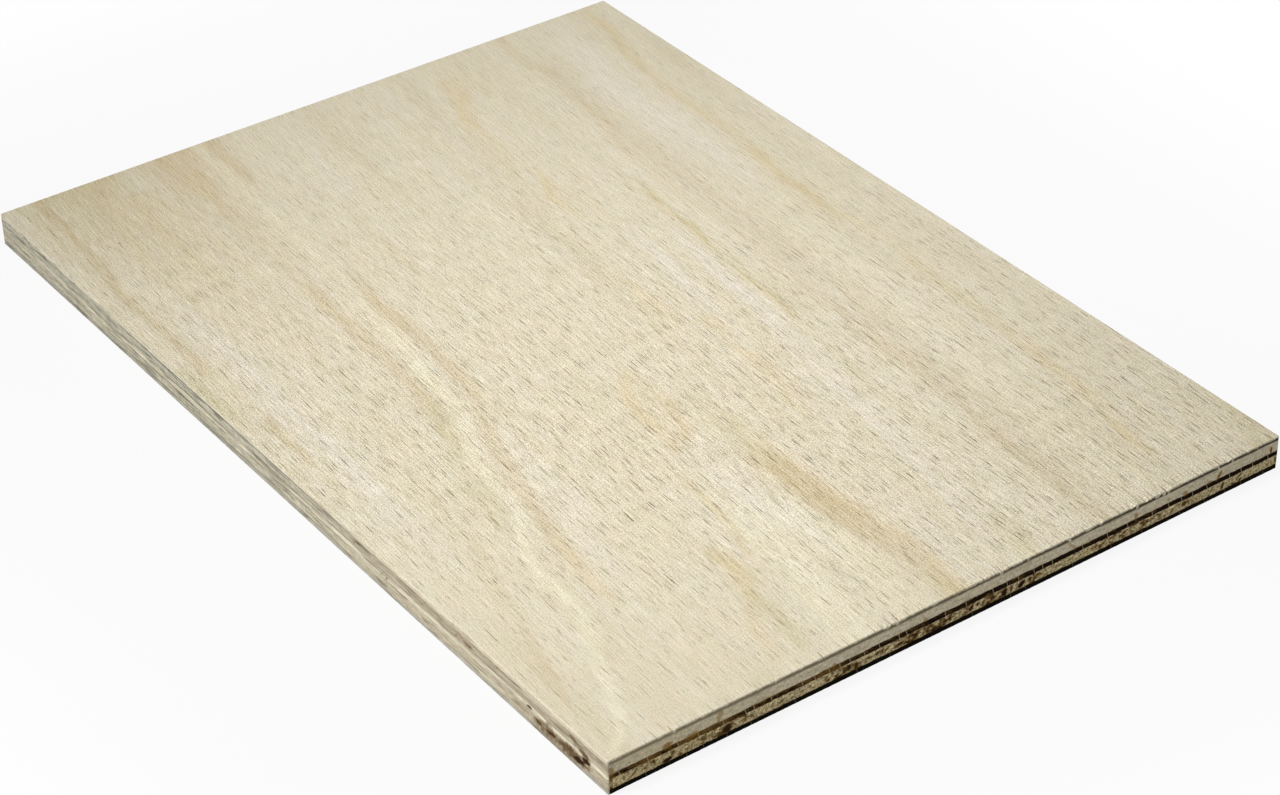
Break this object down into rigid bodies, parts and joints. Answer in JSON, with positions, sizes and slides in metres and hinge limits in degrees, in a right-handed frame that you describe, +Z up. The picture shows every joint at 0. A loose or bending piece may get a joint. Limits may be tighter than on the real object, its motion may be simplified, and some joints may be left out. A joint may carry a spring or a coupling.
{
  "type": "plywood sheet",
  "caption": "Flat rectangular plywood sheet with a pale beech face; the crossed plies show as light and dark bands on its sawn edges.",
  "frame": {"origin": "middle of the underside of the sheet, lying flat", "axes": "+X along the sheet's length and the grain of its face, +Y across its width, +Z up out of the face veneer"},
  "size_m": [0.297, 0.21, 0.01],
  "materials": {
    "beech_face": "sanded bare beech veneer",
    "crossband": "sawn edge of a pale crossband",
    "core": "sawn edge of a dark core veneer",
    "beech_back": "sanded bare veneer, darker than the face"
  },
  "bodies": {
    "root": {"face_veneer": "beech_face", "upper_crossband": "crossband", "core_veneer": "core", "lower_crossband": "crossband", "back_veneer": "beech_back"}
  },
  "joints": []
}
